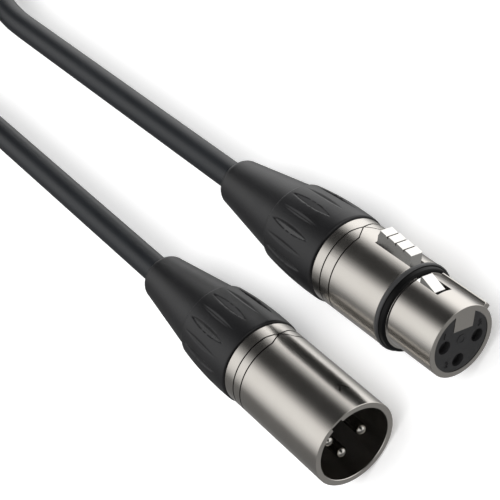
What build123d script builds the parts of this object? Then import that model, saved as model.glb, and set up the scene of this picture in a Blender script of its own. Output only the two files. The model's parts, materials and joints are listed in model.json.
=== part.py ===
"""An XLR lead: a three-pin male connector and a latching female connector on one microphone cable.

Both connectors lie on z = 0 with their fronts towards -Y. Each is made in its own frame: s runs back
from its front face along its axis, x is to the right and the latch side is up, seen from the front.
"""
import os
from math import cos, pi, radians, sin, tan

from build123d import *

os.makedirs("parts", exist_ok=True)

# ---- driving dimensions, millimetres and degrees ------------------------------------------------
fit_gap = 0.05             # between pieces that seat in each other
moving_gap = 0.3           # round the latch

cable_radius = 3.2
contact_circle = 4.15      # from the axis to each contact
contact_clocks = (90, 180, 270)   # clockwise from the latch side, seen from the front

# boot, the same on both connectors; lengths are counted from its front end
boot_radius = 9.95
boot_front_radius = 9.7
boot_length = 37.8
grip_length = 16.6
grip_end_radius = 9.0
neck_wall = 2.3            # at its rear end
neck_taper = 3.0           # what the neck's radius loses along it
neck_end_radius = cable_radius + neck_wall
neck_start_radius = neck_end_radius + neck_taper
boot_end_round = 2.0
boot_gap = 0.4             # between a shell and its boot
flute_count = 18           # every second one is deep
first_flute_clock = -18.5  # a deep one
flute_start = 2.8
flute_length = 12.6
flute_depth = 0.8
shallow_flute_depth = 0.4
flute_radius = 9.7         # from the axis to the middle line of a flute

# bushing and clamp
thread_radius = 8.6
bushing_radius = 8.3
bushing_bore = 7.0
bushing_throat = 5.9
bushing_reach = 12.0       # how far the bushing runs into the boot
clamp_radius = 6.8
clamp_tip_radius = 5.6
clamp_setback = 1.6        # from the boot's front end to the clamp's
clamp_length = 11.4
clamp_slot = 0.9
jacket_inset = 3.4         # from the boot's front end to the cut end of the jacket

# what makes the nose of one connector fit the mouth of another
socket_radius = 1.25
socket_outer_radius = 1.7
insert_rim = 0.77          # of the nose's bore, outside the sockets
nose_wall = 1.18
mating_gap = 0.4           # between a nose and a mouth
mouth_wall = 1.3
rib_height = 0.9
keyway_gap = 0.25          # over the rib
nose_bore = contact_circle + socket_outer_radius + insert_rim
nose_radius = nose_bore + nose_wall
mouth_radius = nose_radius + mating_gap
shell_radius = mouth_radius + mouth_wall
rib_radius = nose_radius + rib_height
keyway_radius = rib_radius + keyway_gap

# male connector
male_shell_length = 30.0
mouth_depth = 13.0
keyway_clock = -41
keyway_width = 2.6
catch_start = 1.0
catch_length = 4.6
catch_width = 4.0
male_rear_space = 6.0      # of the shell, behind the insert
male_insert_length = male_shell_length - mouth_depth - male_rear_space
pin_radius = 1.2
pin_tip = 2.35             # how far the pins' tips stand behind the rim
pin_shank_radius = 1.45    # of a pin inside the insert and behind it
pin_collar_radius = 1.8
pin_collar_length = 1.5
pin_tail = 4.2             # behind the insert
male_grooves = (24.75, 27.1)
groove_width = 0.45
groove_depth = 0.25
edge_break = 0.15

# female connector
shoulder_height = 1.65     # of the wide part, over the nose
female_shell_radius = nose_radius + shoulder_height
nose_length = 11.8
rib_clock = 41
rib_width = 2.0
ring_stand_out = 0.1       # from the wide part of the shell
ring_seat_height = 0.5     # over the nose
ring_radius = female_shell_radius + ring_stand_out
ring_seat = nose_radius + ring_seat_height
ring_width = 2.15
tongue_width = 4.8
tongue_foot = 2.75         # from the axis to the tongue's inner end
tongue_length = 5.6
window_width = 3.6
window_start = 6.0
socket_start = 1.6
socket_depth = 14.0
socket_tail = 3.0          # behind the insert
groove_setbacks = (5.3, 2.5)   # of the two grooves, from the wide part's rear end

# latch: a lever on a pin at its rear, with a button above and a hook in front
button_gap = 0.5           # behind the ring
button_width = 2.9
button_start = nose_length + ring_width + button_gap
button_length = 9.55
button_front_height = 11.4
button_rear_height = 12.2
ridge_pitch = 2.95
lever_width = 2.6
lever_underside = 4.6
lever_topside = 6.2
hook_start = 7.2
hook_setback = 0.4         # from the ring
hook_end = nose_length - hook_setback
hook_height = 8.6
pivot_setback = 2.0        # from the button
pivot_s = button_start + button_length + pivot_setback
pivot_height = 5.4
pivot_radius = 0.75
pivot_length = 6.6
eye_radius = 1.5
ear_gap = 3.2              # between the insert's two ears
ear_length = 6.0
flange_length = 3.0        # the insert's rear flange, which the bushing presses on
spring_width = 1.6
spring_thickness = 0.25

# lengths of the female connector that follow from its latch
ear_reach = 2.0            # of the insert, behind the pivot
bushing_seat = 4.9         # of the shell, behind the insert
rear_bore_lead = 7.0       # of the shell's rear bore, in front of the pivot
female_insert_length = pivot_s + ear_reach
female_shell_length = female_insert_length + bushing_seat
rear_bore_start = pivot_s - rear_bore_lead
female_grooves = [female_shell_length - setback for setback in groove_setbacks]

# conductors
core_radius = 0.6
drain_radius = 0.35
cup_radius = 0.8
cup_depth = 2.6
core_circle = 1.3          # from the axis, where the cores leave the jacket

# ---- where the pieces lie -----------------------------------------------------------------------
axis_height = max(boot_radius, shell_radius, ring_radius)
male_x, male_y, male_roll, male_yaw = -14.4, -30.3, 59.0, 0.0
female_x, female_y, female_roll, female_yaw = 13.8, -38.0, 55.5, 0.85

# the hank of the spare cable, long turns with round ends, and the two stretches that run to it from the
# boots; their points are laid by hand
coil_x, coil_y = -1.7, 221.2
coil_columns = 3
coil_layers = 4
coil_outer_radius = 32.0   # of its round ends
coil_straight = 44.4       # between the middles of its round ends
male_route = [
    (-14.4, 147.0, 9.95),
    (-30.5, 178.0, 22.4),
    (-30.5, 206.0, 22.4),
]
female_route = [
    (11.06, 147.0, 9.95),
    (27.1, 178.0, 3.2),
    (27.1, 206.0, 3.2),
]
tie_width = 16.0
tie_thickness = 0.8


# ---- frames of the two connectors ---------------------------------------------------------------
def rolled(plane, clock):
    """The plane turned about its own normal, clockwise seen from the front."""
    x_dir = plane.x_dir * cos(radians(clock)) - plane.y_dir * sin(radians(clock))
    return Plane(origin=plane.origin, x_dir=x_dir, z_dir=plane.z_dir)


def lying_frame(x, y, roll, yaw):
    """The front plane (x right, y to the latch side), the plane through the axis, and the axis."""
    level = Plane(
        origin=(x, y, axis_height),
        x_dir=(cos(radians(yaw)), sin(radians(yaw)), 0),
        z_dir=(sin(radians(yaw)), -cos(radians(yaw)), 0),
    )
    front = rolled(level, roll)
    side = Plane(origin=front.origin, x_dir=-front.z_dir, z_dir=front.x_dir)
    return front, side, Axis(front.origin, -front.z_dir)


def place(front, x, y, s):
    """A point of a connector, x right and y up from its axis and s behind its front."""
    return front.from_local_coords((x, y, -s))


def on_clock(radius, clock):
    """x and y at a radius and an angle clockwise from the latch side."""
    return radius * sin(radians(clock)), radius * cos(radians(clock))


def contact_side(front, side, clock):
    """The plane like `side`, but through the contact at this clock angle."""
    return Plane(origin=place(front, *on_clock(contact_circle, clock), 0), x_dir=side.x_dir, z_dir=side.z_dir)


male_front, male_side, male_axis = lying_frame(male_x, male_y, male_roll, male_yaw)
female_front, female_side, female_axis = lying_frame(female_x, female_y, female_roll, female_yaw)
male_boot_start = male_shell_length + boot_gap
female_boot_start = female_shell_length + boot_gap


def turned_body(side, axis, outline):
    """A solid turned about a connector's axis from points (s, radius)."""
    with BuildPart() as body:
        with BuildSketch(side):
            with BuildLine():
                Polyline(*outline, close=True)
            make_face()
        revolve(axis=axis)
    return body.part


# ---- male shell ---------------------------------------------------------------------------------
with BuildPart() as male_shell:
    with BuildSketch(male_side):
        with BuildLine():
            Polyline(
                (0, mouth_radius),
                (0, shell_radius - edge_break),
                (edge_break, shell_radius),
                (male_shell_length - edge_break, shell_radius),
                (male_shell_length, shell_radius - edge_break),
                (male_shell_length, thread_radius + fit_gap),
                (mouth_depth, thread_radius + fit_gap),
                (mouth_depth, mouth_radius),
                close=True,
            )
        make_face()
    revolve(axis=male_axis)
    with BuildSketch(rolled(male_front, keyway_clock)):
        with Locations((0, keyway_radius / 2)):
            Rectangle(keyway_width, keyway_radius)
    extrude(amount=-mouth_depth, mode=Mode.SUBTRACT)
    with BuildSketch(male_front.offset(-catch_start)):
        with Locations((0, keyway_radius / 2)):
            Rectangle(catch_width, keyway_radius)
    extrude(amount=-catch_length, mode=Mode.SUBTRACT)
    with BuildSketch(male_side):
        with Locations(*[(s, shell_radius) for s in male_grooves]):
            Rectangle(groove_width, 2 * groove_depth)
    revolve(axis=male_axis, mode=Mode.SUBTRACT)
male_shell.part.label = "male_shell"
export_step(male_shell.part, "parts/male_shell.step")

# ---- male insert --------------------------------------------------------------------------------
male_insert_end = mouth_depth + male_insert_length
collar_start = male_insert_end - male_insert_length / 2
with BuildPart() as male_insert:
    with BuildSketch(male_front.offset(-mouth_depth)):
        Circle(thread_radius)
    extrude(amount=-male_insert_length)
    with BuildSketch(male_front.offset(-mouth_depth)):
        with Locations(*[on_clock(contact_circle, clock) for clock in contact_clocks]):
            Circle(pin_shank_radius + fit_gap)
    extrude(amount=-male_insert_length, mode=Mode.SUBTRACT)
    with BuildSketch(male_front.offset(-collar_start)):
        with Locations(*[on_clock(contact_circle, clock) for clock in contact_clocks]):
            Circle(pin_collar_radius + fit_gap)
    extrude(amount=-male_insert_length, mode=Mode.SUBTRACT)
male_insert.part.label = "male_insert"
export_step(male_insert.part, "parts/male_insert.step")

# ---- male contact pins --------------------------------------------------------------------------
pin_end = male_insert_end + pin_tail
for number, clock in zip((1, 3, 2), contact_clocks):
    pin_side = contact_side(male_front, male_side, clock)
    with BuildPart() as male_pin:
        with BuildSketch(pin_side):
            with BuildLine():
                RadiusArc((pin_tip, 0), (pin_tip + pin_radius, pin_radius), pin_radius)
                Polyline(
                    (pin_tip + pin_radius, pin_radius),
                    (mouth_depth, pin_radius),
                    (mouth_depth, pin_shank_radius),
                    (collar_start + fit_gap, pin_shank_radius),
                    (collar_start + fit_gap, pin_collar_radius),
                    (collar_start + pin_collar_length, pin_collar_radius),
                    (collar_start + pin_collar_length, pin_shank_radius),
                    (pin_end, pin_shank_radius),
                    (pin_end, cup_radius),
                    (pin_end - cup_depth, cup_radius),
                    (pin_end - cup_depth, 0),
                    (pin_tip, 0),
                )
            make_face()
        revolve(axis=Axis(pin_side.origin, pin_side.x_dir))
    male_pin.part.label = f"male_pin_{number}"
    export_step(male_pin.part, f"parts/male_pin_{number}.step")

# ---- female shell -------------------------------------------------------------------------------
ring_end = nose_length + ring_width
slot_width = button_width + 2 * moving_gap
slot_end = button_start + button_length + moving_gap
with BuildPart() as female_shell:
    with BuildSketch(female_side):
        with BuildLine():
            Polyline(
                (0, nose_bore),
                (0, nose_radius - edge_break),
                (edge_break, nose_radius),
                (nose_length, nose_radius),
                (nose_length, ring_seat),
                (ring_end, ring_seat),
                (ring_end, female_shell_radius - edge_break),
                (ring_end + edge_break, female_shell_radius),
                (female_shell_length - edge_break, female_shell_radius),
                (female_shell_length, female_shell_radius - edge_break),
                (female_shell_length, thread_radius + fit_gap),
                (rear_bore_start, thread_radius + fit_gap),
                (rear_bore_start, nose_bore),
                close=True,
            )
        make_face()
    revolve(axis=female_axis)
    with BuildSketch(rolled(female_front, rib_clock)):
        with Locations((0, (nose_bore + rib_radius) / 2 + edge_break)):
            Rectangle(rib_width, rib_radius - nose_bore - 2 * edge_break)
    extrude(amount=-nose_length)
    with BuildSketch(female_front):
        with Locations((0, (tongue_foot + nose_radius - edge_break) / 2)):
            Rectangle(tongue_width, nose_radius - edge_break - tongue_foot)
        Circle(nose_bore + edge_break, mode=Mode.INTERSECT)
    extrude(amount=-tongue_length)
    with BuildSketch(female_front.offset(-window_start)):
        with Locations((0, nose_radius)):
            Rectangle(window_width, nose_radius)
    extrude(amount=-(nose_length - window_start), mode=Mode.SUBTRACT)
    with BuildSketch(female_front.offset(-nose_length)):
        with Locations((0, nose_bore)):
            Rectangle(slot_width, 2 * (ring_seat - moving_gap - nose_bore))
    extrude(amount=-ring_width, mode=Mode.SUBTRACT)
    with BuildSketch(female_front.offset(-ring_end)):
        with Locations((0, female_shell_radius)):
            Rectangle(slot_width, female_shell_radius)
    extrude(amount=-(slot_end - ring_end), mode=Mode.SUBTRACT)
    with BuildSketch(female_side):
        with Locations(*[(s, female_shell_radius) for s in female_grooves]):
            Rectangle(groove_width, 2 * groove_depth)
    revolve(axis=female_axis, mode=Mode.SUBTRACT)
female_shell.part.label = "female_shell"
export_step(female_shell.part, "parts/female_shell.step")

# ---- rubber ring --------------------------------------------------------------------------------
ring_round = 0.35
with BuildPart() as rubber_ring:
    with BuildSketch(female_side):
        with Locations(((nose_length + ring_end) / 2, (ring_seat + fit_gap + ring_radius) / 2)):
            RectangleRounded(ring_width - 2 * fit_gap, ring_radius - ring_seat - fit_gap, ring_round)
    revolve(axis=female_axis)
rubber_ring.part.label = "rubber_ring"
export_step(rubber_ring.part, "parts/rubber_ring.step")

# ---- female insert ------------------------------------------------------------------------------
insert_radius = nose_bore - fit_gap
with BuildPart() as female_insert:
    with BuildSketch(female_front.offset(-fit_gap)):
        Circle(insert_radius)
    extrude(amount=-(female_insert_length - fit_gap))
    with BuildSketch(female_front.offset(-female_insert_length)):
        Circle(thread_radius)
    extrude(amount=flange_length)
    with BuildSketch(female_front.offset(-fit_gap)):
        with Locations((0, tongue_foot - fit_gap + nose_bore / 2)):
            Rectangle(tongue_width + 2 * fit_gap, nose_bore)
    extrude(amount=-(female_insert_length - ear_length), mode=Mode.SUBTRACT)
    with BuildSketch(female_front.offset(-(female_insert_length - ear_length))):
        with Locations((0, tongue_foot - fit_gap + nose_bore / 2)):
            Rectangle(ear_gap, nose_bore)
    extrude(amount=-ear_length, mode=Mode.SUBTRACT)
    with BuildSketch(female_front):
        with Locations(*[on_clock(contact_circle, clock) for clock in contact_clocks]):
            Circle(socket_radius)
    extrude(amount=-female_insert_length, mode=Mode.SUBTRACT)
    with BuildSketch(female_front.offset(-(socket_start - fit_gap))):
        with Locations(*[on_clock(contact_circle, clock) for clock in contact_clocks]):
            Circle(socket_outer_radius + fit_gap)
    extrude(amount=-female_insert_length, mode=Mode.SUBTRACT)
    with BuildSketch(female_side):
        with Locations((pivot_s, pivot_height)):
            Circle(pivot_radius + fit_gap)
    extrude(amount=nose_radius, both=True, mode=Mode.SUBTRACT)
female_insert.part.label = "female_insert"
export_step(female_insert.part, "parts/female_insert.step")

# ---- female contact sockets ---------------------------------------------------------------------
socket_end = female_insert_length + socket_tail
for number, clock in zip((2, 3, 1), contact_clocks):
    socket_side = contact_side(female_front, female_side, clock)
    with BuildPart() as female_socket:
        with BuildSketch(socket_side):
            with BuildLine():
                Polyline(
                    (socket_start, socket_radius),
                    (socket_start, socket_outer_radius),
                    (female_insert_length, socket_outer_radius),
                    (female_insert_length, pin_shank_radius),
                    (socket_end, pin_shank_radius),
                    (socket_end, cup_radius),
                    (socket_end - cup_depth, cup_radius),
                    (socket_end - cup_depth, 0),
                    (socket_depth, 0),
                    (socket_depth, socket_radius),
                    close=True,
                )
            make_face()
        revolve(axis=Axis(socket_side.origin, socket_side.x_dir))
    female_socket.part.label = f"female_socket_{number}"
    export_step(female_socket.part, f"parts/female_socket_{number}.step")

# ---- latch --------------------------------------------------------------------------------------
button_end = button_start + button_length
ridge_height = 0.45
with BuildPart() as latch:
    with BuildSketch(female_side):
        with BuildLine():
            Polyline(
                (hook_start, lever_underside),
                (hook_start, nose_radius - 2 * moving_gap),
                (hook_end - moving_gap, hook_height),
                (hook_end, hook_height - moving_gap),
                (hook_end, lever_topside),
                (pivot_s, lever_topside),
                (pivot_s, lever_underside),
                close=True,
            )
        make_face()
    extrude(amount=lever_width / 2, both=True)
    with BuildSketch(female_side):
        with Locations((pivot_s, pivot_height)):
            Circle(eye_radius)
    extrude(amount=lever_width / 2, both=True)
    with BuildSketch(female_side):
        with BuildLine():
            Polyline(
                (button_start, lever_underside),
                (button_start, button_front_height),
                (button_end, button_rear_height),
                (button_end, lever_underside),
                close=True,
            )
        make_face()
    extrude(amount=button_width / 2, both=True)
    slope = (button_rear_height - button_front_height) / button_length
    with BuildSketch(female_side):
        for ridge in range(1, 1 + int(button_length / ridge_pitch)):
            foot = ridge * ridge_pitch - ridge_pitch / 3
            with Locations((button_start + foot, button_front_height + slope * foot)):
                Rectangle(2 * ridge_height, 2 * ridge_height, rotation=45)
    extrude(amount=button_width, both=True, mode=Mode.SUBTRACT)
    with BuildSketch(female_side):
        with Locations((pivot_s, pivot_height)):
            Circle(pivot_radius + fit_gap)
    extrude(amount=button_width, both=True, mode=Mode.SUBTRACT)
latch.part.label = "latch"
export_step(latch.part, "parts/latch.step")

# ---- latch pivot pin ----------------------------------------------------------------------------
with BuildPart() as latch_pivot:
    with BuildSketch(female_side):
        with Locations((pivot_s, pivot_height)):
            Circle(pivot_radius)
    extrude(amount=pivot_length / 2, both=True)
latch_pivot.part.label = "latch_pivot"
export_step(latch_pivot.part, "parts/latch_pivot.step")

# ---- latch spring -------------------------------------------------------------------------------
spring_floor = tongue_foot
spring_top = lever_underside - fit_gap
with BuildPart() as latch_spring:
    with BuildSketch(female_side):
        with BuildLine():
            Polyline(
                (hook_end, spring_top),
                (hook_end, spring_top - spring_thickness),
                (button_start + button_length / 2, spring_floor),
                (button_end - eye_radius, spring_floor),
                (button_end - eye_radius, spring_floor + spring_thickness),
                (button_start + button_length / 2, spring_floor + spring_thickness),
                close=True,
            )
        make_face()
    extrude(amount=spring_width / 2, both=True)
latch_spring.part.label = "latch_spring"
export_step(latch_spring.part, "parts/latch_spring.step")


# ---- boots --------------------------------------------------------------------------------------
def boot_outline(start):
    """The boot's outer points (s, radius) from its front end back to its rear end."""
    bulge = (
        (0.0, boot_front_radius),
        (0.10, boot_radius - 0.07),
        (0.26, boot_radius),
        (0.48, boot_radius - 0.08),
        (0.68, boot_radius - 0.27),
        (0.88, boot_radius - 0.6),
        (1.0, grip_end_radius),
    )
    return [(start + share * grip_length, radius) for share, radius in bulge]


def make_boot(front, side, axis, start):
    grip_end = start + grip_length
    boot_end = start + boot_length
    clamp_end = start + clamp_setback + clamp_length
    with BuildPart() as boot:
        with BuildSketch(side):
            with BuildLine():
                grip = Spline(*boot_outline(start))
                neck = Polyline(
                    grip @ 1,
                    (grip_end, neck_start_radius),
                    (boot_end - boot_end_round, neck_end_radius),
                )
                rear_edge = TangentArc(neck @ 1, (boot_end, neck_end_radius - boot_end_round), tangent=(1, 0))
                Polyline(
                    rear_edge @ 1,
                    (boot_end, cable_radius + fit_gap),
                    (clamp_end + 2 * fit_gap, cable_radius + fit_gap),
                    (clamp_end + 2 * fit_gap, bushing_throat),
                    (start + bushing_reach + fit_gap, bushing_throat),
                    (start + bushing_reach + fit_gap, bushing_radius + fit_gap),
                    (start, bushing_radius + fit_gap),
                    grip @ 0,
                )
            make_face()
        revolve(axis=axis)
        # a flute is the cut of a spindle with pointed ends that lies along the grip's surface
        half = flute_length / 2
        for step in range(flute_count):
            lay = rolled(front, first_flute_clock + step * 360 / flute_count)
            depth = shallow_flute_depth if step % 2 else flute_depth
            spindle_side = Plane(
                origin=lay.from_local_coords((0, flute_radius, -(start + flute_start + half))),
                x_dir=-front.z_dir,
                z_dir=lay.x_dir,
            )
            with BuildSketch(spindle_side):
                with BuildLine():
                    ThreePointArc((-half, 0), (0, depth), (half, 0))
                    Line((half, 0), (-half, 0))
                make_face()
            revolve(axis=Axis(spindle_side.origin, spindle_side.x_dir), mode=Mode.SUBTRACT)
    return boot.part


# ---- bushing: screws into the shell and carries the boot ------------------------------------------
def make_bushing(side, axis, start, screwed_to):
    return turned_body(side, axis, (
        (screwed_to, bushing_bore),
        (screwed_to, thread_radius),
        (start - boot_gap, thread_radius),
        (start - boot_gap, bushing_radius),
        (start + bushing_reach, bushing_radius),
        (start + bushing_reach, bushing_throat),
        (start + bushing_reach / 2, bushing_bore),
    ))


# ---- cable clamp: a slotted sleeve that the bushing squeezes on the jacket --------------------------
def make_clamp(front, side, axis, start):
    clamp_start = start + clamp_setback
    clamp_end = clamp_start + clamp_length
    with BuildPart() as clamp:
        with BuildSketch(side):
            with BuildLine():
                Polyline(
                    (clamp_start, cable_radius + fit_gap),
                    (clamp_start, clamp_radius),
                    (start + bushing_reach / 2 - fit_gap, clamp_radius),
                    (clamp_end, clamp_tip_radius),
                    (clamp_end, cable_radius + fit_gap),
                    close=True,
                )
            make_face()
        revolve(axis=axis)
        with BuildSketch(front.offset(-(clamp_start + clamp_length / 4))):
            Rectangle(3 * clamp_radius, clamp_slot)
            Rectangle(clamp_slot, 3 * clamp_radius)
        extrude(amount=-clamp_length, mode=Mode.SUBTRACT)
    return clamp.part


# ---- conductors: from the solder cups into the jacket --------------------------------------------
def make_wire(front, clock, radius, cup_end, jacket_start):
    bend = 1.2
    cup_x, cup_y = on_clock(contact_circle, clock)
    core_x, core_y = on_clock(core_circle, clock)
    points = [
        place(front, cup_x, cup_y, cup_end - cup_depth + fit_gap),
        place(front, cup_x, cup_y, cup_end + bend / 2),
        place(front, core_x, core_y, jacket_start - bend),
        place(front, core_x, core_y, jacket_start),
    ]
    with BuildPart() as wire:
        with BuildLine() as route:
            FilletPolyline(*points, radius=bend)
        with BuildSketch(Plane(origin=points[0], z_dir=-front.z_dir)):
            Circle(radius)
        sweep(path=route.wires()[0])
    return wire.part


# ---- what both connectors hold behind their shells -----------------------------------------------
rear_sets = (
    ("male", male_front, male_side, male_axis, male_boot_start, male_insert_end, pin_end),
    ("female", female_front, female_side, female_axis, female_boot_start, female_insert_length, socket_end),
)
for name, front, side, axis, start, insert_end, cup_end in rear_sets:
    pieces = {
        "boot": make_boot(front, side, axis, start),
        "bushing": make_bushing(side, axis, start, insert_end + fit_gap),
        "cable_clamp": make_clamp(front, side, axis, start),
        "core_a": make_wire(front, 90, core_radius, cup_end, start + jacket_inset),
        "core_b": make_wire(front, 180, core_radius, cup_end, start + jacket_inset),
        "drain_wire": make_wire(front, 270, drain_radius, cup_end, start + jacket_inset),
    }
    with BuildPart() as jacket:
        with BuildSketch(front.offset(-(start + jacket_inset))):
            Circle(cable_radius)
        extrude(amount=-(boot_length - jacket_inset))
    pieces["jacket_end"] = jacket.part
    for piece, solid in pieces.items():
        solid.label = f"{name}_{piece}"
        export_step(solid, f"parts/{name}_{piece}.step")


# ---- the cable -----------------------------------------------------------------------------------
def route_radii(points):
    """Each corner's radius: 0.45 of the shorter run over the tangent of half the turn."""
    radii = []
    for before, corner, after in zip(points, points[1:], points[2:]):
        run_in = Vector(corner) - Vector(before)
        run_out = Vector(after) - Vector(corner)
        turn = radians(run_in.get_angle(run_out))
        radii.append(0.45 * min(run_in.length, run_out.length) / tan(turn / 2))
    return radii


def make_cable(name, points):
    radii = route_radii(points)
    with BuildPart() as tube:
        with BuildLine() as path:
            FilletPolyline(*points, radius=radii)
        start_direction = Vector(points[1]) - Vector(points[0])
        with BuildSketch(Plane(origin=points[0], z_dir=start_direction)):
            Circle(cable_radius)
        sweep(path=path.wires()[0])
    length = sum(edge.length for edge in path.edges())
    print(name, "radii", [round(r, 1) for r in radii], "length", round(length, 1),
          "volume over section x length", round(tube.part.volume / (pi * cable_radius**2 * length), 4))
    return tube.part, length


laid_length = 0
cable_ends = (
    ("male_cable", place(male_front, 0, 0, male_boot_start + boot_length), male_route),
    ("female_cable", place(female_front, 0, 0, female_boot_start + boot_length), female_route),
)
for name, boot_end_point, route in cable_ends:
    tube, tube_length = make_cable(name, [boot_end_point, *route])
    tube.label = name
    export_step(tube, f"parts/{name}.step")
    laid_length += tube_length

coil_inner_radius = coil_outer_radius - 2 * cable_radius * coil_columns
coil_height = 2 * cable_radius * coil_layers
coil_middle_radius = (coil_outer_radius + coil_inner_radius) / 2
tie_plane = Plane(
    origin=(coil_x + coil_middle_radius, coil_y, coil_height / 2),
    x_dir=(1, 0, 0),
    z_dir=(0, 1, 0),
)
with BuildPart() as cable_coil:
    with BuildSketch(Plane.XY):
        with Locations((coil_x, coil_y)):
            SlotCenterToCenter(coil_straight, 2 * coil_outer_radius, rotation=90)
            SlotCenterToCenter(coil_straight, 2 * coil_inner_radius, rotation=90, mode=Mode.SUBTRACT)
    extrude(amount=coil_height)
    edges_by_height = cable_coil.edges().group_by(Axis.Z)
    fillet(edges_by_height[0] + edges_by_height[-1], radius=cable_radius - fit_gap)
turns = coil_columns * coil_layers
turn_length = 2 * coil_straight + 2 * pi * coil_middle_radius
print("laid outside the hank", round(laid_length, 1), "in the hank", round(turns * turn_length, 1))

# ---- tie: a strap round one side of the hank, which it presses in ----------------------------------------------
with BuildPart() as tie_block:
    with BuildSketch(tie_plane):
        RectangleRounded(coil_outer_radius - coil_inner_radius, coil_height, cable_radius)
    extrude(amount=tie_width / 2, both=True)
with BuildPart() as cable_tie:
    add(tie_block.part)
    with BuildSketch(tie_plane):
        RectangleRounded(
            coil_outer_radius - coil_inner_radius - 2 * tie_thickness,
            coil_height - 2 * tie_thickness,
            cable_radius - tie_thickness,
        )
    extrude(amount=tie_width / 2, both=True, mode=Mode.SUBTRACT)
with BuildPart() as tied_coil:
    add(cable_coil.part)
    add(cable_tie.part, mode=Mode.SUBTRACT)
cable_tie.part.label = "cable_tie"
export_step(cable_tie.part, "parts/cable_tie.step")
tied_coil.part.label = "cable_coil"
export_step(tied_coil.part, "parts/cable_coil.step")
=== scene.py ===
"""A microphone lead, pin connector at one end and latching socket connector at the other: its looks,
round the CAD frame. New pieces are modelled in millimetres in a connector's own axes, x to the right,
y back from its front and z to its latch side, and are then brought to metres and to their place."""
import json
import math

import bpy
from mathutils import Matrix, Vector


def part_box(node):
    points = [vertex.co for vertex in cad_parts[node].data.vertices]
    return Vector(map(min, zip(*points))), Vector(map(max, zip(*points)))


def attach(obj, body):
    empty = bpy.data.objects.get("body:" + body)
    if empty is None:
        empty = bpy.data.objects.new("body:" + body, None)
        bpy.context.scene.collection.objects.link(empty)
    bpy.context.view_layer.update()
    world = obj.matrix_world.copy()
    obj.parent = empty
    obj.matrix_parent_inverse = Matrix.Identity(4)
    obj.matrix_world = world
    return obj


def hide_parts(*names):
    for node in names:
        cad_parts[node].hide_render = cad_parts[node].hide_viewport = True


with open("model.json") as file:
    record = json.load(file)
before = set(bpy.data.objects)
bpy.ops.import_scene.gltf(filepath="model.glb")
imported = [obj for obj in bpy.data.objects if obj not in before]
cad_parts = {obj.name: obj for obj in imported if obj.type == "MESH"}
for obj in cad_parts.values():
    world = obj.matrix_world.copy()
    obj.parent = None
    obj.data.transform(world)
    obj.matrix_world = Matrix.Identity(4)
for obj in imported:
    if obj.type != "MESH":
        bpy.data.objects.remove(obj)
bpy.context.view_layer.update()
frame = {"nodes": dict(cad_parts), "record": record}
mounts = {mount["name"]: mount for mount in frame["record"]["mounts"]}
mm = 0.001


# ---- Camera ----------------------------------------------------------------------------------------
# It looks steeply down along the connectors, from the socket side, with a long lens, and is turned
# about its own axis so that the cables run up to the left.
camera_offset = Vector((59.29, -158.06, 227.52)) * mm
camera_right = Vector((0.5185, -0.5813, -0.6272))
camera_up = Vector((0.8442, 0.4651, 0.2668))
camera_data = bpy.data.cameras.new("camera")
camera_data.sensor_width = 36
camera_data.lens = 105.3
camera_data.clip_start = 0.01
camera = bpy.data.objects.new("camera", camera_data)
bpy.context.scene.collection.objects.link(camera)
camera_back = camera_right.cross(camera_up).normalized()
camera_up = camera_back.cross(camera_right).normalized()
camera_axes = Matrix((camera_right.normalized(), camera_up, camera_back)).transposed()
camera.matrix_world = Matrix.Translation(Vector(mounts["male_mouth"]["pos_m"]) + camera_offset) @ (
    camera_axes.to_4x4())
bpy.context.scene.camera = camera
bpy.context.scene.view_settings.view_transform = "Standard"


# ---- Cable -------------------------------------------------------------------------------------------
# A round flexible cable, 6.4 mm across, in one length from boot to boot. Its jacket is extruded soft
# PVC, dark grey and slightly matt, with the faint unevenness that the lay of the cores leaves in it.
def linear(colour):
    """An sRGB hex colour as linear red, green, blue and alpha."""
    channels = [int(colour[at:at + 2], 16) / 255 for at in (1, 3, 5)]
    return [c / 12.92 if c <= 0.04045 else ((c + 0.055) / 1.055) ** 2.4 for c in channels] + [1.0]


def add_node(tree, kind, values=None, links=None, **settings):
    """Adds a node with its settings, the values of its inputs and the links into them."""
    node = tree.nodes.new(kind)
    for name, value in settings.items():
        setattr(node, name, value)
    for name, value in (values or {}).items():
        node.inputs[name].default_value = value
    for name, source in (links or {}).items():
        tree.links.new(source, node.inputs[name])
    return node


def new_material(name, values):
    """A material and its tree, shader and Object coordinates; values are the shader's own settings."""
    made = bpy.data.materials.new(name)
    made.use_nodes = True
    tree = made.node_tree
    shader = tree.nodes["Principled BSDF"]
    for socket, value in values.items():
        shader.inputs[socket].default_value = value
    return made, tree, shader, add_node(tree, "ShaderNodeTexCoord").outputs["Object"]


cable_radius = 3.2 * mm
soft_pvc, tree, shader, place = new_material("extruded_soft_pvc", {"IOR": 1.53, "Specular IOR Level": 0.5})
cloud = add_node(tree, "ShaderNodeTexNoise", {"Scale": 90, "Detail": 3, "Roughness": 0.6}, {"Vector": place})
tone = add_node(tree, "ShaderNodeValToRGB", links={"Fac": cloud.outputs["Fac"]})
tone.color_ramp.elements[0].color = linear("#17191C")
tone.color_ramp.elements[1].color = linear("#1F2226")
tree.links.new(tone.outputs["Color"], shader.inputs["Base Color"])
fine = add_node(tree, "ShaderNodeTexNoise", {"Scale": 3200, "Detail": 2, "Roughness": 0.5},
                {"Vector": place})
gloss = add_node(tree, "ShaderNodeMapRange", {"To Min": 0.36, "To Max": 0.5},
                 {"Value": cloud.outputs["Fac"]})
tree.links.new(gloss.outputs["Result"], shader.inputs["Roughness"])
grain = add_node(tree, "ShaderNodeBump", {"Strength": 0.25, "Distance": 0.00004},
                 {"Height": fine.outputs["Fac"]})
tree.links.new(grain.outputs["Normal"], shader.inputs["Normal"])

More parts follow.
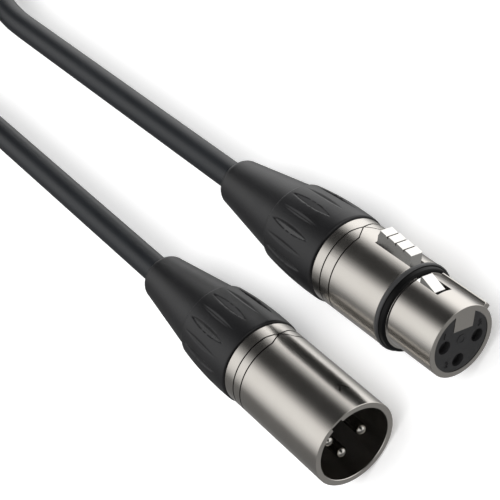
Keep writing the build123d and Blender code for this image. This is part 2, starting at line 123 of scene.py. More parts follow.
# the route from the pin connector's boot into the hank, its long turns, and back to the other boot
male_run = [
    (-0.0144, 0.0379, 0.00995),
    (-0.0144, 0.1099, 0.00995),
    (-0.0144, 0.147, 0.00995),
    (-0.0305, 0.178, 0.0224),
]
female_run = [
    (0.0271, 0.178, 0.0032),
    (0.01106, 0.147, 0.00995),
    (0.01158, 0.1114, 0.00995),
    (0.012745, 0.033092, 0.00995),
]
hank_low, hank_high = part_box("cable_coil")
hank_middle = (hank_low + hank_high) / 2
outer_turn = (hank_high.x - hank_low.x) / 2 - cable_radius
half_straight = (hank_high.y - hank_low.y) / 2 - outer_turn - cable_radius
columns = 3
layers = 4
points_per_end = 8
point_angle = math.pi / points_per_end
# a quadratic spline runs inside its control points, so they stand that much further out
stand_out = 4 / (3 + math.cos(point_angle))
hank_points = []
for turn in range(columns * layers):
    layer, column = divmod(turn, columns)
    if layer % 2:
        column = columns - 1 - column
    radius = outer_turn - 2 * cable_radius * column
    height = hank_high.z - cable_radius - 2 * cable_radius * layer
    ends = (1, -1) if turn < columns * layers - 1 else (1,)
    for end in ends:
        # a straight side, then a round end: the far one from left to right, the near one back again
        hank_points.append((hank_middle.x - end * radius, hank_middle.y - end * half_straight * 0.6, height))
        for step in range(points_per_end):
            angle = math.pi - (step + 0.5) * point_angle
            hank_points.append((
                hank_middle.x + end * radius * stand_out * math.cos(angle),
                hank_middle.y + end * (half_straight + radius * stand_out * math.sin(angle)),
                height,
            ))
hank_points.append((hank_middle.x + outer_turn, hank_middle.y - half_straight * 0.6, cable_radius))
cable_points = male_run + hank_points + female_run
cable_curve = bpy.data.curves.new("cable", "CURVE")
cable_curve.dimensions = "3D"
cable_curve.bevel_depth = cable_radius
cable_curve.bevel_resolution = 9
cable_curve.use_fill_caps = True
cable_curve.resolution_u = 8
spline = cable_curve.splines.new("NURBS")
spline.points.add(len(cable_points) - 1)
for point, spot in zip(spline.points, cable_points):
    point.co = (*spot, 1)
spline.order_u = 3
spline.use_endpoint_u = True
spline.use_smooth = True
cable = bpy.data.objects.new("cable", cable_curve)
bpy.context.scene.collection.objects.link(cable)
cable.data.materials.append(soft_pvc)
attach(cable, "lead")
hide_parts("male_cable", "female_cable", "cable_coil")
for node in ("male_jacket_end", "female_jacket_end"):
    frame["nodes"][node].data.materials.clear()
    frame["nodes"][node].data.materials.append(soft_pvc)


# ---- Shells ------------------------------------------------------------------------------------------
# Both shells are die-cast, turned and satin nickel plated: a warm white metal that smears what it
# mirrors into soft bands, with the faintest lengthwise and round streaks of polishing under the plate.
def connector_place(front, lower_contact):
    """The matrix from millimetres in a connector's own axes to metres where it lies."""
    origin = Vector(mounts[front]["pos_m"])
    back = -Vector(mounts[front]["axis"]).normalized()
    down = Vector(mounts[lower_contact]["pos_m"]) - origin
    up = -(down - down.project(back)).normalized()
    axes = Matrix((back.cross(up), back, up)).transposed().to_4x4()
    return Matrix.Translation(origin) @ axes @ Matrix.Scale(mm, 4)


male = connector_place("male_mouth", "pin_3")
female = connector_place("female_nose", "socket_3")


def turned(name, outline, steps=144):
    """A piece turned on a lathe: its outline, (distance back, radius), is drawn by extruding one vertex
    and is spun about the connector's axis."""
    bpy.ops.object.select_all(action="DESELECT")
    bpy.ops.mesh.primitive_plane_add(size=1)
    piece = bpy.context.object
    piece.name = name
    bpy.ops.object.mode_set(mode="EDIT")
    bpy.ops.mesh.select_all(action="SELECT")
    bpy.ops.mesh.merge(type="CENTER")
    bpy.ops.transform.translate(value=(0, *outline[0]))
    for here, there in zip(outline, outline[1:] + outline[:1]):
        step = (0, there[0] - here[0], there[1] - here[1])
        bpy.ops.mesh.extrude_vertices_move(TRANSFORM_OT_translate={"value": step})
    bpy.ops.mesh.select_all(action="SELECT")
    bpy.ops.mesh.remove_doubles(threshold=0.001)
    bpy.ops.mesh.spin(steps=steps, angle=2 * math.pi, center=(0, 0, 0), axis=(0, 1, 0))
    bpy.ops.mesh.select_all(action="SELECT")
    bpy.ops.mesh.remove_doubles(threshold=0.001)
    bpy.ops.mesh.normals_make_consistent(inside=False)
    bpy.ops.object.mode_set(mode="OBJECT")
    return piece


def block(name, low, high, clock=0):
    """A block between two corners, turned about the connector's axis by a clock angle in degrees."""
    bpy.ops.object.select_all(action="DESELECT")
    centre = [(a + b) / 2 for a, b in zip(low, high)]
    bpy.ops.mesh.primitive_cube_add(size=1, location=centre)
    piece = bpy.context.object
    piece.name = name
    piece.scale = [b - a for a, b in zip(low, high)]
    bpy.ops.object.transform_apply(location=True, rotation=True, scale=True)
    piece.data.transform(Matrix.Rotation(math.radians(clock), 4, "Y"))
    return piece


def apply_modifier(piece, kind, **settings):
    modifier = piece.modifiers.new(kind.lower(), kind)
    for name, value in settings.items():
        setattr(modifier, name, value)
    bpy.ops.object.select_all(action="DESELECT")
    piece.select_set(True)
    bpy.context.view_layer.objects.active = piece
    bpy.ops.object.modifier_apply(modifier=modifier.name)


def combine(piece, other, operation="DIFFERENCE"):
    """Cuts another shape out of a piece, or joins it on, and uses the other up."""
    apply_modifier(piece, "BOOLEAN", object=other, operation=operation, solver="EXACT")
    bpy.data.objects.remove(other)


def true_round(piece):
    """Gives every face that lies on a cylinder round the connector's axis that cylinder's own normals."""
    mesh = piece.data
    normals = [Vector(corner.vector) for corner in mesh.corner_normals]
    for face in mesh.polygons:
        corners = [mesh.vertices[number].co for number in face.vertices]
        radii = [math.hypot(corner.x, corner.z) for corner in corners]
        outward = Vector((face.center.x, 0, face.center.z)).normalized().dot(face.normal)
        if abs(face.normal.y) < 0.02 and abs(outward) > 0.99 and max(radii) - min(radii) < 0.01:
            for loop, corner in zip(face.loop_indices, corners):
                normals[loop] = Vector((corner.x, 0, corner.z)).normalized() * math.copysign(1, outward)
    mesh.normals_split_custom_set(normals)


def finish(piece, place_of_it, finish_material, body, *nodes, slot, edge=0.0, smooth=35, recess=None):
    """Rounds a piece's edges, smooths it, puts it in its place and has it stand for its CAD nodes."""
    bpy.ops.object.select_all(action="DESELECT")
    piece.select_set(True)
    bpy.context.view_layer.objects.active = piece
    bpy.ops.object.shade_smooth_by_angle(angle=math.radians(smooth))
    if edge:
        apply_modifier(piece, "BEVEL", width=edge, segments=2, limit_method="ANGLE",
                       angle_limit=math.radians(40), use_clamp_overlap=True, harden_normals=True)
    true_round(piece)
    piece.data.materials.clear()
    piece.data.materials.append(finish_material)
    if recess:
        # the floors and walls of what is cut a little way into the outside are coloured dark: painted shade
        shade_material, outside, front, back = recess
        piece.data.materials.append(shade_material)
        for face in piece.data.polygons:
            radius = math.hypot(face.center.x, face.center.z)
            if outside - 0.27 < radius < outside - 0.02 and front < face.center.y < back:
                face.material_index = 1
    piece.data.transform(place_of_it)
    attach(piece, body)
    if nodes:
        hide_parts(*nodes)
    return piece


satin_nickel, tree, shader, place = new_material("satin_nickel_plate", {"Metallic": 1.0})
cloud = add_node(tree, "ShaderNodeTexNoise", {"Scale": 160, "Detail": 4, "Roughness": 0.6},
                 {"Vector": place})
tone = add_node(tree, "ShaderNodeValToRGB", links={"Fac": cloud.outputs["Fac"]})
tone.color_ramp.elements[0].color = linear("#CDC8C1")
tone.color_ramp.elements[1].color = linear("#D5D1CB")
tree.links.new(tone.outputs["Color"], shader.inputs["Base Color"])
gloss = add_node(tree, "ShaderNodeMapRange", {"To Min": 0.2, "To Max": 0.27},
                 {"Value": cloud.outputs["Fac"]})
tree.links.new(gloss.outputs["Result"], shader.inputs["Roughness"])
fine = add_node(tree, "ShaderNodeTexNoise", {"Scale": 5000, "Detail": 2}, {"Vector": place})
grain = add_node(tree, "ShaderNodeBump", {"Strength": 0.12, "Distance": 0.00002},
                 {"Height": fine.outputs["Fac"]})
tree.links.new(grain.outputs["Normal"], shader.inputs["Normal"])

# a dark, matt nickel: its dark colour is painted shade for the floors and walls of cuts and the latch's steps
painted_shade_nickel, tree, shader, place = new_material("nickel_with_painted_shade",
                                                  {"Metallic": 1.0, "Roughness": 0.55})
cloud = add_node(tree, "ShaderNodeTexNoise", {"Scale": 900, "Detail": 3}, {"Vector": place})
tone = add_node(tree, "ShaderNodeValToRGB", links={"Fac": cloud.outputs["Fac"]})
tone.color_ramp.elements[0].color = linear("#33302D")
tone.color_ramp.elements[1].color = linear("#4A4642")
tree.links.new(tone.outputs["Color"], shader.inputs["Base Color"])

groove_depth = 0.22
groove_half_width = 0.16


def groove_cutter(outside, behind, meets_at, reach=18):
    """A ring that cuts a narrow groove, bent so that it runs to a point at the latch side, where it meets
    the other one."""
    ring = turned("groove_cutter", [
        (behind - groove_half_width, outside - groove_depth), (behind - groove_half_width, outside + 0.2),
        (behind + groove_half_width, outside + 0.2), (behind + groove_half_width, outside - groove_depth)])
    for vertex in ring.data.vertices:
        clock = math.degrees(math.atan2(vertex.co.x, vertex.co.z))
        vertex.co.y += (meets_at - behind) * max(0.0, 1 - abs(clock) / reach)
    return ring


# pin connector's shell
shell_radius = 9.5
mouth_radius = 8.2
mouth_depth = 13.0
male_shell_length = 30.0
inner_radius = 8.65
rim_break = 0.08
male_shell = turned("male_shell_finish", [
    (rim_break, mouth_radius), (0.0, mouth_radius + rim_break), (0.0, shell_radius - rim_break),
    (rim_break, shell_radius), (male_shell_length - rim_break, shell_radius),
    (male_shell_length, shell_radius - rim_break), (male_shell_length, inner_radius),
    (mouth_depth, inner_radius), (mouth_depth, mouth_radius)])
combine(male_shell, block("keyway", (-1.3, -1, 6), (1.3, mouth_depth, 8.95), clock=-41))
combine(male_shell, block("catch", (-2, 1, 7), (2, 5.6, 8.95)))
for behind in (24.75, 27.1):
    combine(male_shell, groove_cutter(shell_radius, behind, 26.4))
# a small arrow that shows which side goes to the latch of a mating socket
for lean in (-1, 1):
    bar = block("arrow_bar", (-0.15, 5.0, 9.3), (0.15, 7.0, 10))
    bar.data.transform(Matrix.Translation((0, 7, 0)) @ Matrix.Rotation(math.radians(38 * lean), 4, "Z") @
                       Matrix.Translation((0, -7, 0)))
    combine(male_shell, bar)
# the grooves and the arrow get painted shade on their floors and walls
finish(male_shell, male, satin_nickel, "lead", "male_shell", slot="satin_nickel",
       recess=(painted_shade_nickel, shell_radius, 4, 29))

# socket connector's shell: the nose, the ring's seat and the wide part in one casting
nose_radius = 7.8
nose_bore = 6.62
nose_length = 11.8
ring_seat = 8.3
ring_end = 13.95
wide_radius = 9.45
female_shell_length = 32.9
rear_bore_start = 19.0
female_shell = turned("female_shell_finish", [
    (0.0, nose_bore), (0.0, nose_radius - rim_break), (rim_break, nose_radius), (nose_length, nose_radius),
    (nose_length, ring_seat), (ring_end, ring_seat), (ring_end, wide_radius - rim_break),
    (ring_end + rim_break, wide_radius), (female_shell_length - rim_break, wide_radius),
    (female_shell_length, wide_radius - rim_break), (female_shell_length, inner_radius),
    (rear_bore_start, inner_radius), (rear_bore_start, nose_bore)])
rib = block("rib", (-1, 0.03, 6.9), (1, nose_length + 0.3, 8.7))
apply_modifier(rib, "BEVEL", width=0.4, segments=4, limit_method="ANGLE", angle_limit=math.radians(40))
rib.data.transform(Matrix.Rotation(math.radians(41), 4, "Y"))
combine(female_shell, rib, "UNION")
combine(female_shell, block("tongue", (-2.4, 0.03, 2.75), (2.4, 5.6, 7.2)), "UNION")
combine(female_shell, block("window", (-1.8, 6, 4), (1.8, nose_length + 0.1, 12)))
combine(female_shell, block("under_ring", (-1.75, nose_length - 1, 4), (1.75, ring_end + 1, 8.0)))
combine(female_shell, block("latch_slot", (-1.75, ring_end - 0.01, 4), (1.75, 24.3, 12)))
for behind in (27.6, 30.4):
    combine(female_shell, groove_cutter(wide_radius, behind, 29.8))
# the grooves get painted shade on their floors and walls
finish(female_shell, female, satin_nickel, "lead", "female_shell", slot="satin_nickel",
       recess=(painted_shade_nickel, wide_radius, 26, 32))


# ---- Boots -------------------------------------------------------------------------------------------
# One boot screws on behind each shell. It is moulded in a black satin elastomer: a fluted grip, a
# step, and a tapered neck that holds the cable straight where it leaves.
elastomer, tree, shader, place = new_material("moulded_black_elastomer",
                                              {"IOR": 1.5, "Specular IOR Level": 0.5})
cloud = add_node(tree, "ShaderNodeTexNoise", {"Scale": 220, "Detail": 4, "Roughness": 0.55},
                 {"Vector": place})
tone = add_node(tree, "ShaderNodeValToRGB", links={"Fac": cloud.outputs["Fac"]})
tone.color_ramp.elements[0].color = linear("#151516")
tone.color_ramp.elements[1].color = linear("#1B1B1D")
tree.links.new(tone.outputs["Color"], shader.inputs["Base Color"])
gloss = add_node(tree, "ShaderNodeMapRange", {"To Min": 0.34, "To Max": 0.44},
                 {"Value": cloud.outputs["Fac"]})
tree.links.new(gloss.outputs["Result"], shader.inputs["Roughness"])
fine = add_node(tree, "ShaderNodeTexNoise", {"Scale": 2600, "Detail": 3, "Roughness": 0.6},
                {"Vector": place})
grain = add_node(tree, "ShaderNodeBump", {"Strength": 0.3, "Distance": 0.00005},
                 {"Height": fine.outputs["Fac"]})
tree.links.new(grain.outputs["Normal"], shader.inputs["Normal"])

grip_length = 16.6
boot_length = 37.8
boot_gap = 0.4
neck_start_radius = 8.5
neck_end_radius = 5.5
rear_round = 2.0
flute_count = 18
first_flute = math.radians(-18.5)
flute_start, flute_end = 2.8, 15.4
grip_steps = 56
neck_steps = 24


def grip_radius(back):
    """The grip bulges a little behind its front end and narrows towards the step."""
    return 9.94 - 0.0058 * (back - 4.2) ** 2


def flute_depth_at(back, clock):
    """How far a flute, V-shaped across and pointed at both ends, lies under the grip's surface."""
    along = 2 * (back - flute_start) / (flute_end - flute_start) - 1
    if abs(along) >= 1:
        return 0.0
    pitch = 2 * math.pi / flute_count
    number = round((clock - first_flute) / pitch)
    across = abs(clock - first_flute - number * pitch) * grip_radius(back)
    width, depth = (0.55, 0.26) if number % 2 else (0.78, 1.0)
    swell = 1 - along ** 2
    return depth * swell * max(0.0, 1 - across / (width * swell))


boots = []
for name, place_of_it, shell_length in (("male_boot", male, male_shell_length),
                                        ("female_boot", female, female_shell_length)):
    start = shell_length + boot_gap
    outer = [(0.0, grip_radius(0) - 0.25), (0.1, grip_radius(0) - 0.07), (0.25, grip_radius(0.25))]
    for step in range(1, grip_steps + 1):
        back = 0.25 + (grip_length - 0.4 - 0.25) * step / grip_steps
        outer.append((back, grip_radius(back)))
    outer += [(grip_length - 0.25, 8.95), (grip_length - 0.12, 8.78), (grip_length, 8.52)]
    neck_end = boot_length - rear_round
    for step in range(1, neck_steps + 1):
        share = step / neck_steps
        back = grip_length + 0.15 + (neck_end - grip_length - 0.15) * share
        outer.append((back, neck_start_radius + (neck_end_radius - neck_start_radius) * share))
    for step in range(1, 9):
        angle = math.pi / 2 * step / 8
        outer.append((neck_end + rear_round * math.sin(angle),
                      neck_end_radius - rear_round * (1 - math.cos(angle))))
    inner = [(boot_length, 3.3), (13.1, 3.3), (13.1, 5.9), (12.05, 5.9), (12.05, 8.35), (0.0, 8.35)]
    boot = turned(name + "_finish", [(start + back, radius) for back, radius in outer + inner], steps=360)
    for vertex in boot.data.vertices:
        x, y, z = vertex.co
        radius = math.hypot(x, z)
        sunk = flute_depth_at(y - start, math.atan2(x, z))
        if sunk and radius > 8.6:
            vertex.co.x *= 1 - sunk / radius
            vertex.co.z *= 1 - sunk / radius
    boots.append(finish(boot, place_of_it, elastomer, "lead", name, slot="boot_rubber", smooth=50))


# ---- Contact inserts -----------------------------------------------------------------------------
# Each shell holds a moulded insert of black glass-filled nylon with raised numbers beside its contacts;
# the metal tongue and the latch pass through a channel in the socket connector's insert.
nylon, tree, shader, place = new_material("glass_filled_nylon", {"IOR": 1.53})
cloud = add_node(tree, "ShaderNodeTexNoise", {"Scale": 700, "Detail": 4, "Roughness": 0.6},
                 {"Vector": place})
tone = add_node(tree, "ShaderNodeValToRGB", links={"Fac": cloud.outputs["Fac"]})
tone.color_ramp.elements[0].color = linear("#222223")
tone.color_ramp.elements[1].color = linear("#2B2B2C")
tree.links.new(tone.outputs["Color"], shader.inputs["Base Color"])
gloss = add_node(tree, "ShaderNodeMapRange", {"To Min": 0.5, "To Max": 0.62},
                 {"Value": cloud.outputs["Fac"]})
tree.links.new(gloss.outputs["Result"], shader.inputs["Roughness"])
fine = add_node(tree, "ShaderNodeTexNoise", {"Scale": 4200, "Detail": 2}, {"Vector": place})
grain = add_node(tree, "ShaderNodeBump", {"Strength": 0.3, "Distance": 0.00003},
                 {"Height": fine.outputs["Fac"]})
tree.links.new(grain.outputs["Normal"], shader.inputs["Normal"])


def on_clock(radius, clock):
    """x and z at a radius and an angle clockwise from the latch side, seen from the front."""
    return radius * math.sin(math.radians(clock)), radius * math.cos(math.radians(clock))


def join(piece, other):
    """Makes another shape part of a piece, as it is."""
    bpy.ops.object.select_all(action="DESELECT")
    piece.select_set(True)
    other.select_set(True)
    bpy.context.view_layer.objects.active = piece
    bpy.ops.object.join()


def raised_number(number, radius, clock, face, size=2.0):
    """A moulded number that stands a fifth of a millimetre proud of an insert's face."""
    x, z = on_clock(radius, clock)
    bpy.ops.object.select_all(action="DESELECT")
    bpy.ops.object.text_add(location=(x, face, z), rotation=(math.pi / 2, 0, 0))
    text = bpy.context.object
    text.data.body = number
    text.data.size = size
    text.data.align_x = "CENTER"
    text.data.align_y = "CENTER"
    text.data.extrude = 0.2
    bpy.ops.object.convert(target="MESH")
    text = bpy.context.object
    bpy.ops.object.transform_apply(location=True, rotation=True, scale=True)
    return text


def hole(radius, front, back, x, z):
    """A round hole's cutter along the connector's axis."""
    cutter = turned("hole", [(front, 0.0005), (front, radius), (back, radius), (back, 0.0005)], steps=48)
    cutter.data.transform(Matrix.Translation((x, 0, z)))
    return cutter


contact_circle = 4.15
insert_radius = 8.6
insert_end = 24.0
male_insert = turned("male_insert_finish", [
    (mouth_depth, 0.0005), (mouth_depth, insert_radius), (insert_end, insert_radius),
    (insert_end, 0.0005)], steps=96)
for clock in (90, 180, 270):
    combine(male_insert, hole(1.45, mouth_depth - 1, insert_end + 1, *on_clock(contact_circle, clock)))
for number, clock in (("1", 62), ("3", 215), ("2", 298)):
    join(male_insert, raised_number(number, 6.2, clock, mouth_depth))
finish(male_insert, male, nylon, "lead", "male_insert", slot="insert_plastic", smooth=30)

flange_start, female_insert_end = 25.0, 28.0
ear_start = 22.0
female_insert = turned("female_insert_finish", [
    (0.12, 0.0005), (0.12, nose_bore - 0.12), (flange_start, nose_bore - 0.12),
    (flange_start, insert_radius), (female_insert_end, insert_radius), (female_insert_end, 0.0005)], steps=96)
combine(female_insert, block("channel", (-2.45, -1, 2.65), (2.45, ear_start, 10)))
combine(female_insert, block("ear_gap", (-1.6, ear_start - 1, 2.65), (1.6, female_insert_end + 1, 10)))
for clock in (90, 180, 270):
    combine(female_insert, hole(1.42, -1, 1.5, *on_clock(contact_circle, clock)))
    combine(female_insert, hole(1.75, 1.5, female_insert_end + 1, *on_clock(contact_circle, clock)))
for number, clock in (("2", 58), ("3", 213), ("1", 300)):
    join(female_insert, raised_number(number, 5.2, clock, 0.1, 1.9))
mark = turned("mark", [(0.02, 0.7), (0.02, 1.05), (0.2, 1.05), (0.2, 0.7)], steps=48)
mark.data.transform(Matrix.Translation((0, 0, 0.5)))
join(female_insert, mark)
finish(female_insert, female, nylon, "lead", "female_insert", slot="insert_plastic", smooth=30)


# ---- Contacts ------------------------------------------------------------------------------------
# Turned copper-alloy pins and sockets, silver plated, bright and very smooth, each pressed into its
# insert with a cup at the back for the soldered core.
silver, tree, shader, place = new_material("silver_plate", {"Metallic": 1.0})
cloud = add_node(tree, "ShaderNodeTexNoise", {"Scale": 800, "Detail": 3}, {"Vector": place})
tone = add_node(tree, "ShaderNodeValToRGB", links={"Fac": cloud.outputs["Fac"]})
tone.color_ramp.elements[0].color = linear("#A09D98")
tone.color_ramp.elements[1].color = linear("#B2AFAA")
tree.links.new(tone.outputs["Color"], shader.inputs["Base Color"])
gloss = add_node(tree, "ShaderNodeMapRange", {"To Min": 0.06, "To Max": 0.11},
                 {"Value": cloud.outputs["Fac"]})
tree.links.new(gloss.outputs["Result"], shader.inputs["Roughness"])

tip, pin_radius, shank_radius, cup_radius = 2.35, 1.2, 1.45, 0.8
tip_curve = [(tip + pin_radius * (1 - math.cos(math.radians(a))),
              pin_radius * math.sin(math.radians(a)) + 0.0005)
             for a in range(0, 91, 10)]
for number, clock in (("1", 90), ("3", 180), ("2", 270)):
    pin = turned("male_pin_finish_" + number, tip_curve + [
        (mouth_depth, pin_radius), (mouth_depth, shank_radius), (18.55, shank_radius), (18.55, 1.8),
        (20.0, 1.8), (20.0, shank_radius), (28.2, shank_radius), (28.2, cup_radius), (25.6, cup_radius),
        (25.6, 0.0005)], steps=48)
    x, z = on_clock(contact_circle, clock)
    finish(pin, male @ Matrix.Translation((x, 0, z)), silver, "lead", "male_pin_" + number,
           slot="contact_metal")
for number, clock in (("2", 90), ("3", 180), ("1", 270)):
    socket = turned("female_socket_finish_" + number, [
        (1.6, 1.25), (1.6, 1.7), (28.0, 1.7), (28.0, shank_radius), (31.0, shank_radius), (31.0, cup_radius),
        (28.4, cup_radius), (28.4, 0.0005), (14.0, 0.0005), (14.0, 1.25)], steps=48)
    x, z = on_clock(contact_circle, clock)
    finish(socket, female @ Matrix.Translation((x, 0, z)), silver, "lead", "female_socket_" + number,
           slot="contact_metal")


# ---- Rubber ring ---------------------------------------------------------------------------------
# A black rubber ring, stretched into the seat between the nose and the wide part of the shell, takes up
# the play between mated connectors.
rubber, tree, shader, place = new_material("black_ring_rubber", {"IOR": 1.5, "Specular IOR Level": 0.15})
cloud = add_node(tree, "ShaderNodeTexNoise", {"Scale": 600, "Detail": 4, "Roughness": 0.6},
                 {"Vector": place})
tone = add_node(tree, "ShaderNodeValToRGB", links={"Fac": cloud.outputs["Fac"]})
tone.color_ramp.elements[0].color = linear("#050505")
tone.color_ramp.elements[1].color = linear("#0B0B0B")
tree.links.new(tone.outputs["Color"], shader.inputs["Base Color"])
gloss = add_node(tree, "ShaderNodeMapRange", {"To Min": 0.38, "To Max": 0.5},
                 {"Value": cloud.outputs["Fac"]})
tree.links.new(gloss.outputs["Result"], shader.inputs["Roughness"])
# the raised rim is coloured grey: a painted sheen
rubber_with_painted_sheen, tree, shader, place = new_material("rubber_rim_with_painted_sheen", {"IOR": 1.5, "Specular IOR Level": 0.5})
cloud = add_node(tree, "ShaderNodeTexNoise", {"Scale": 600, "Detail": 4, "Roughness": 0.6},
                 {"Vector": place})
tone = add_node(tree, "ShaderNodeValToRGB", links={"Fac": cloud.outputs["Fac"]})
tone.color_ramp.elements[0].color = linear("#343434")
tone.color_ramp.elements[1].color = linear("#3E3E3F")
tree.links.new(tone.outputs["Color"], shader.inputs["Base Color"])
gloss = add_node(tree, "ShaderNodeMapRange", {"To Min": 0.3, "To Max": 0.42},
                 {"Value": cloud.outputs["Fac"]})
tree.links.new(gloss.outputs["Result"], shader.inputs["Roughness"])
ring_top, ring_edge = 9.55, 0.3
rim_start = 12.95
ring_outline = [(nose_length + 0.05, 7.83), (nose_length + 0.05, 8.8), (nose_length + 0.3, 9.05),
                (rim_start - 0.05, 9.05)]
for corner, first in ((rim_start + ring_edge, 180), (ring_end - 0.05 - ring_edge, 90)):
    for step in range(7):
        angle = math.radians(first - 15 * step)
        ring_outline.append((corner + ring_edge * math.cos(angle),
                             ring_top - ring_edge + ring_edge * math.sin(angle)))
ring_outline += [(ring_end - 0.05, 8.35), (nose_length + 0.1, 8.35), (nose_length + 0.1, 7.83)]
rubber_ring = turned("rubber_ring_finish", ring_outline, steps=160)
# the faces of the raised rim get the grey painted sheen
on_rim = [math.hypot(face.center.x, face.center.z) > 9.15 for face in rubber_ring.data.polygons]
finish(rubber_ring, female, rubber, "lead", "rubber_ring", slot="ring_rubber", smooth=60)
rubber_ring.data.materials.append(rubber_with_painted_sheen)
for face, sheen_here in zip(rubber_ring.data.polygons, on_rim):
    face.material_index = int(sheen_here)


# ---- Latch ---------------------------------------------------------------------------------------
# A bright nickel-plated die-cast lever on a steel pin at its rear: a button with four stepped finger
# grips stands out of the shell's slot, and a hook shows in the window of the nose.
bright_nickel, tree, shader, place = new_material("bright_nickel_plate", {"Metallic": 1.0})
cloud = add_node(tree, "ShaderNodeTexNoise", {"Scale": 500, "Detail": 3}, {"Vector": place})
tone = add_node(tree, "ShaderNodeValToRGB", links={"Fac": cloud.outputs["Fac"]})
tone.color_ramp.elements[0].color = linear("#E0DED9")
tone.color_ramp.elements[1].color = linear("#E8E6E2")
tree.links.new(tone.outputs["Color"], shader.inputs["Base Color"])
gloss = add_node(tree, "ShaderNodeMapRange", {"To Min": 0.16, "To Max": 0.22},
                 {"Value": cloud.outputs["Fac"]})
tree.links.new(gloss.outputs["Result"], shader.inputs["Roughness"])


def slab(name, outline, left, right):
    """A shape with one outline, (distance back, height), all the way across from left to right."""
    bpy.ops.object.select_all(action="DESELECT")
    bpy.ops.mesh.primitive_plane_add(size=1)
    piece = bpy.context.object
    piece.name = name
    bpy.ops.object.mode_set(mode="EDIT")
    bpy.ops.mesh.select_all(action="SELECT")
    bpy.ops.mesh.merge(type="CENTER")
    bpy.ops.transform.translate(value=(left, *outline[0]))
    for here, there in zip(outline, outline[1:] + outline[:1]):
        step = (0, there[0] - here[0], there[1] - here[1])
        bpy.ops.mesh.extrude_vertices_move(TRANSFORM_OT_translate={"value": step})
    bpy.ops.mesh.select_all(action="SELECT")
    bpy.ops.mesh.remove_doubles(threshold=0.001)
    bpy.ops.mesh.edge_face_add()
    bpy.ops.mesh.extrude_region_move(TRANSFORM_OT_translate={"value": (right - left, 0, 0)})
    bpy.ops.mesh.select_all(action="SELECT")
    bpy.ops.mesh.normals_make_consistent(inside=False)
    bpy.ops.object.mode_set(mode="OBJECT")
    return piece


pivot_back, pivot_height = 26.0, 5.4
button_front, button_back = 14.45, 24.0
top_line = []
grip_pitch = (button_back - button_front) / 4
for grip in range(4):
    foot = button_front + grip * grip_pitch
    rise = 11.4 + 0.8 * grip / 4
    top_line += [(foot + 0.05, rise - 0.1), (foot + 0.3, rise + 0.05), (foot + grip_pitch - 0.5, rise + 0.3),
                 (foot + grip_pitch - 0.3, rise - 0.4)]
latch = slab("latch_finish", [(button_front, 4.6), *top_line, (button_back, 11.0), (button_back, 4.6)],
             -1.45, 1.45)
combine(latch, slab("lever", [(7.2, 4.6), (7.2, 7.2), (11.1, 8.6), (11.4, 8.3), (11.4, 6.2),
                              (pivot_back, 6.2), (pivot_back, 4.6)], -1.3, 1.3), "UNION")
bpy.ops.mesh.primitive_cylinder_add(vertices=48, radius=1.5, depth=2.6, rotation=(0, math.pi / 2, 0),
                                    location=(0, pivot_back, pivot_height))
eye = bpy.context.object
bpy.ops.object.transform_apply(location=True, rotation=True, scale=True)
combine(latch, eye, "UNION")
bpy.ops.mesh.primitive_cylinder_add(vertices=48, radius=0.8, depth=6, location=(0, pivot_back, pivot_height),
                                    rotation=(0, math.pi / 2, 0))
eye_bore = bpy.context.object
bpy.ops.object.transform_apply(location=True, rotation=True, scale=True)
combine(latch, eye_bore)
finish(latch, female, bright_nickel, "latch", "latch", slot="latch_metal", edge=0.06)
# the button's front and the steps between its grips are dull, and are coloured dark as painted shade
latch.data.materials.append(painted_shade_nickel)
from_world = female.inverted()
turn_back = from_world.to_3x3()
for face in latch.data.polygons:
    facing = (turn_back @ face.normal).normalized()
    if abs(facing.y) > 0.6 and (from_world @ face.center).z > 9:
        face.material_index = 1


# ---- Hidden parts --------------------------------------------------------------------------------
# The clamp, the bushing that squeezes it, the latch's pin and spring and the soldered conductors sit
# inside the shells and boots; they keep their shapes and get their own finishes.
def plain_finish(name, dark, light, low, high, scale, metallic=0.0):
    """A finish whose tone and gloss vary a little over the piece."""
    made, tree, shader, place = new_material(name, {"Metallic": metallic})
    cloud = add_node(tree, "ShaderNodeTexNoise", {"Scale": scale, "Detail": 4}, {"Vector": place})
    tone = add_node(tree, "ShaderNodeValToRGB", links={"Fac": cloud.outputs["Fac"]})
    tone.color_ramp.elements[0].color = linear(dark)
    tone.color_ramp.elements[1].color = linear(light)
    tree.links.new(tone.outputs["Color"], shader.inputs["Base Color"])
    gloss = add_node(tree, "ShaderNodeMapRange", {"To Min": low, "To Max": high},
                     {"Value": cloud.outputs["Fac"]})
    tree.links.new(gloss.outputs["Result"], shader.inputs["Roughness"])
    return made


white_nylon = plain_finish("natural_nylon", "#CFCBBF", "#DAD6CB", 0.45, 0.6, 500)
steel = plain_finish("spring_steel", "#9A9894", "#A9A7A2", 0.22, 0.34, 900, metallic=1.0)
red_insulation = plain_finish("red_pe_insulation", "#A31F1C", "#B32A25", 0.35, 0.5, 900)
blue_insulation = plain_finish("blue_pe_insulation", "#1D3F8C", "#27509F", 0.35, 0.5, 900)
copper = plain_finish("tinned_copper_strands", "#B4775A", "#C98C6C", 0.3, 0.45, 2400, metallic=1.0)
for node, made in (
    ("male_bushing", nylon), ("female_bushing", nylon),
    ("male_cable_clamp", white_nylon), ("female_cable_clamp", white_nylon),
    ("latch_pivot", steel), ("latch_spring", steel),
    ("male_core_a", red_insulation), ("female_core_a", red_insulation),
    ("male_core_b", blue_insulation), ("female_core_b", blue_insulation),
    ("male_drain_wire", copper), ("female_drain_wire", copper),
):
    frame["nodes"][node].data.materials.clear()
    frame["nodes"][node].data.materials.append(made)


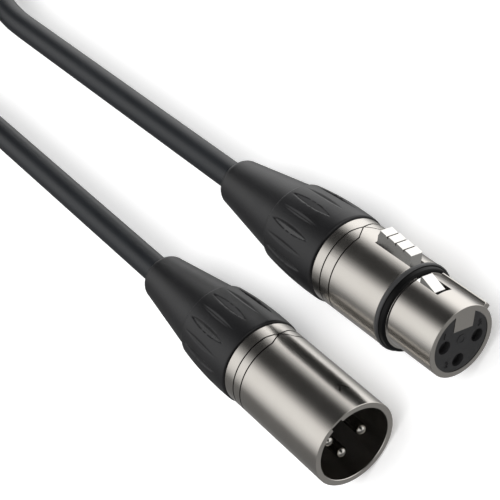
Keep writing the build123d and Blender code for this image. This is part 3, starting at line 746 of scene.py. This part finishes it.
# ---- Cable tie -----------------------------------------------------------------------------------
# A strap of black woven tape with a hook-and-loop closure holds the spare turns on one side of the hank.
tape, tree, shader, place = new_material("woven_hook_and_loop_tape",
                                         {"Roughness": 0.92, "Sheen Weight": 0.2})
weft = add_node(tree, "ShaderNodeTexWave", {"Scale": 320, "Distortion": 1.2, "Detail": 2}, {"Vector": place},
                bands_direction="Y")
warp = add_node(tree, "ShaderNodeTexWave", {"Scale": 320, "Distortion": 1.2, "Detail": 2}, {"Vector": place},
                bands_direction="DIAGONAL")
weave = add_node(tree, "ShaderNodeMath",
                 links={0: weft.outputs["Fac"], 1: warp.outputs["Fac"]}, operation="MULTIPLY")
tone = add_node(tree, "ShaderNodeValToRGB", links={"Fac": weave.outputs["Value"]})
tone.color_ramp.elements[0].color = linear("#121212")
tone.color_ramp.elements[1].color = linear("#2A2A2B")
tree.links.new(tone.outputs["Color"], shader.inputs["Base Color"])
nap = add_node(tree, "ShaderNodeBump", {"Strength": 0.5, "Distance": 0.0002},
               {"Height": weave.outputs["Value"]})
tree.links.new(nap.outputs["Normal"], shader.inputs["Normal"])
tie_low, tie_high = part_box("cable_tie")
strap = block("cable_tie_finish", (tie_low.x - 0.0008, tie_low.y, 0.0),
              (tie_high.x + 0.0008, tie_high.y, tie_high.z + 0.0008))
apply_modifier(strap, "BEVEL", width=0.0035, segments=6, limit_method="ANGLE", angle_limit=math.radians(40),
               affect="EDGES")
window = block("inside", (tie_low.x, tie_low.y - 0.01, 0.0008), (tie_high.x, tie_high.y + 0.01, tie_high.z))
combine(strap, window)
finish(strap, Matrix.Identity(4), tape, "lead", "cable_tie", slot="tie_fabric", smooth=35)


# ---- Floor and light ---------------------------------------------------------------------------------
# A plain pale floor under soft light. Long soft boxes run beside the lead and show in the metal as
# bands; the floor itself isn't mirrored in it.
bpy.ops.object.select_all(action="DESELECT")
bpy.ops.mesh.primitive_plane_add(size=6, location=(0, 0, 0))
floor = bpy.context.object
floor.name = "floor"
pale, tree, shader, place = new_material("pale_floor", {
    "Base Color": linear("#FAFAFA"), "Roughness": 0.9, "Specular IOR Level": 0.1,
    "Emission Color": linear("#FFFFFF"), "Emission Strength": 0.3})
floor.data.materials.append(pale)
floor.visible_glossy = False

# the connectors don't mirror each other, as if each were lit by itself
for piece in (female_shell, rubber_ring, latch, *boots):
    piece.visible_glossy = False

world = bpy.data.worlds.new("studio")
bpy.context.scene.world = world
world.use_nodes = True
tree = world.node_tree
towards = add_node(tree, "ShaderNodeSeparateXYZ",
                   links={"Vector": add_node(tree, "ShaderNodeTexCoord").outputs["Generated"]})
round_lead = add_node(tree, "ShaderNodeMath", operation="ARCTAN2",
                      links={0: towards.outputs["X"], 1: towards.outputs["Z"]})
share = add_node(tree, "ShaderNodeMapRange", {"From Min": -math.pi, "From Max": math.pi},
                 {"Value": round_lead.outputs["Value"]})
boxes = add_node(tree, "ShaderNodeValToRGB", links={"Fac": share.outputs["Result"]})
# brightness by the angle round the lead, from straight down over the left side, the top and the right
light_round = ((-180, 0.28), (-140, 0.25), (-120, 0.16), (-75, 0.16), (-50, 0.9), (-35, 1.1), (-12, 1.05),
               (6, 0.3), (18, 0.04), (55, 0.03), (68, 0.5), (82, 1.25), (95, 1.5), (130, 1.4), (150, 0.5),
               (165, 0.2), (180, 0.28))
ramp = boxes.color_ramp
while len(ramp.elements) > 1:
    ramp.elements.remove(ramp.elements[0])
ramp.elements[0].position = 0
for number, (angle, level) in enumerate(light_round):
    stop = ramp.elements[0] if number == 0 else ramp.elements.new((angle + 180) / 360)
    stop.color = (level / 2, level / 2, level / 2, 1)
background = tree.nodes["Background"]
tree.links.new(boxes.outputs["Color"], background.inputs["Color"])
background.inputs["Strength"].default_value = 2.0

top_light = bpy.data.lights.new("overhead", "AREA")
top_light.shape = "DISK"
top_light.size = 1.6
top_light.energy = 14
overhead = bpy.data.objects.new("overhead", top_light)
overhead.location = (0, 0.1, 1.4)
overhead.visible_glossy = False
bpy.context.scene.collection.objects.link(overhead)
